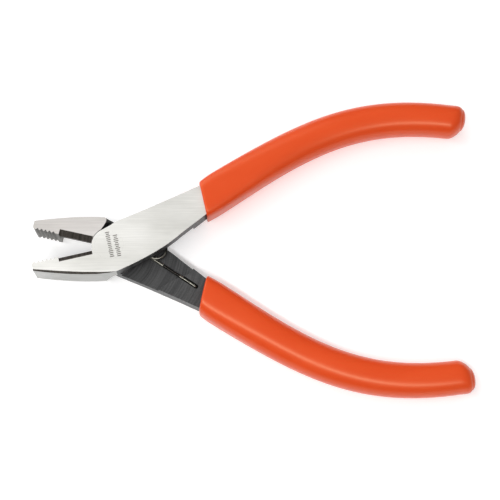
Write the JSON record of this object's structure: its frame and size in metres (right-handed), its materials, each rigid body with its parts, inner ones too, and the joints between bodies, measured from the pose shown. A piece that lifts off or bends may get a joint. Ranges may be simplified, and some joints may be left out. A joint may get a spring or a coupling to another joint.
{
  "type": "combination side cutters",
  "caption": "Small spring-opened pliers: serrated nose, side cutter, lap joint with a flush rivet, and bowed handles with dipped orange vinyl grips",
  "frame": {"origin": "on the pivot axis, in the plane of the flat rear face, at the middle of the rivet's rear end", "axes": "+X along the middle line toward the handles, +Y toward the front half's handle, +Z out of the flat front face along the pivot axis"},
  "size_m": [0.1134, 0.0788, 0.0116],
  "materials": {
    "forged_steel": "ground satin on the flat faces, black oxide where not ground",
    "rivet_steel": "ground flush with the joint faces",
    "spring_wire": "drawn wire, plain",
    "dipped_vinyl": "dipped soft vinyl, satin gloss"
  },
  "bodies": {
    "rear": {"rear_half": "forged_steel", "pivot_rivet": "rivet_steel", "return_spring": "spring_wire", "rear_grip": "dipped_vinyl"},
    "front": {"front_half": "forged_steel", "front_grip": "dipped_vinyl"}
  },
  "joints": [
    {"name": "jaw_hinge", "type": "hinge", "parent": "rear", "child": "front", "pos_m": [0, 0, 0], "axis": [0, 0, 1], "range_deg": [-25.2, 7], "stiffness_Nm_per_rad": 0.6, "deforming": ["return_spring"]}
  ]
}
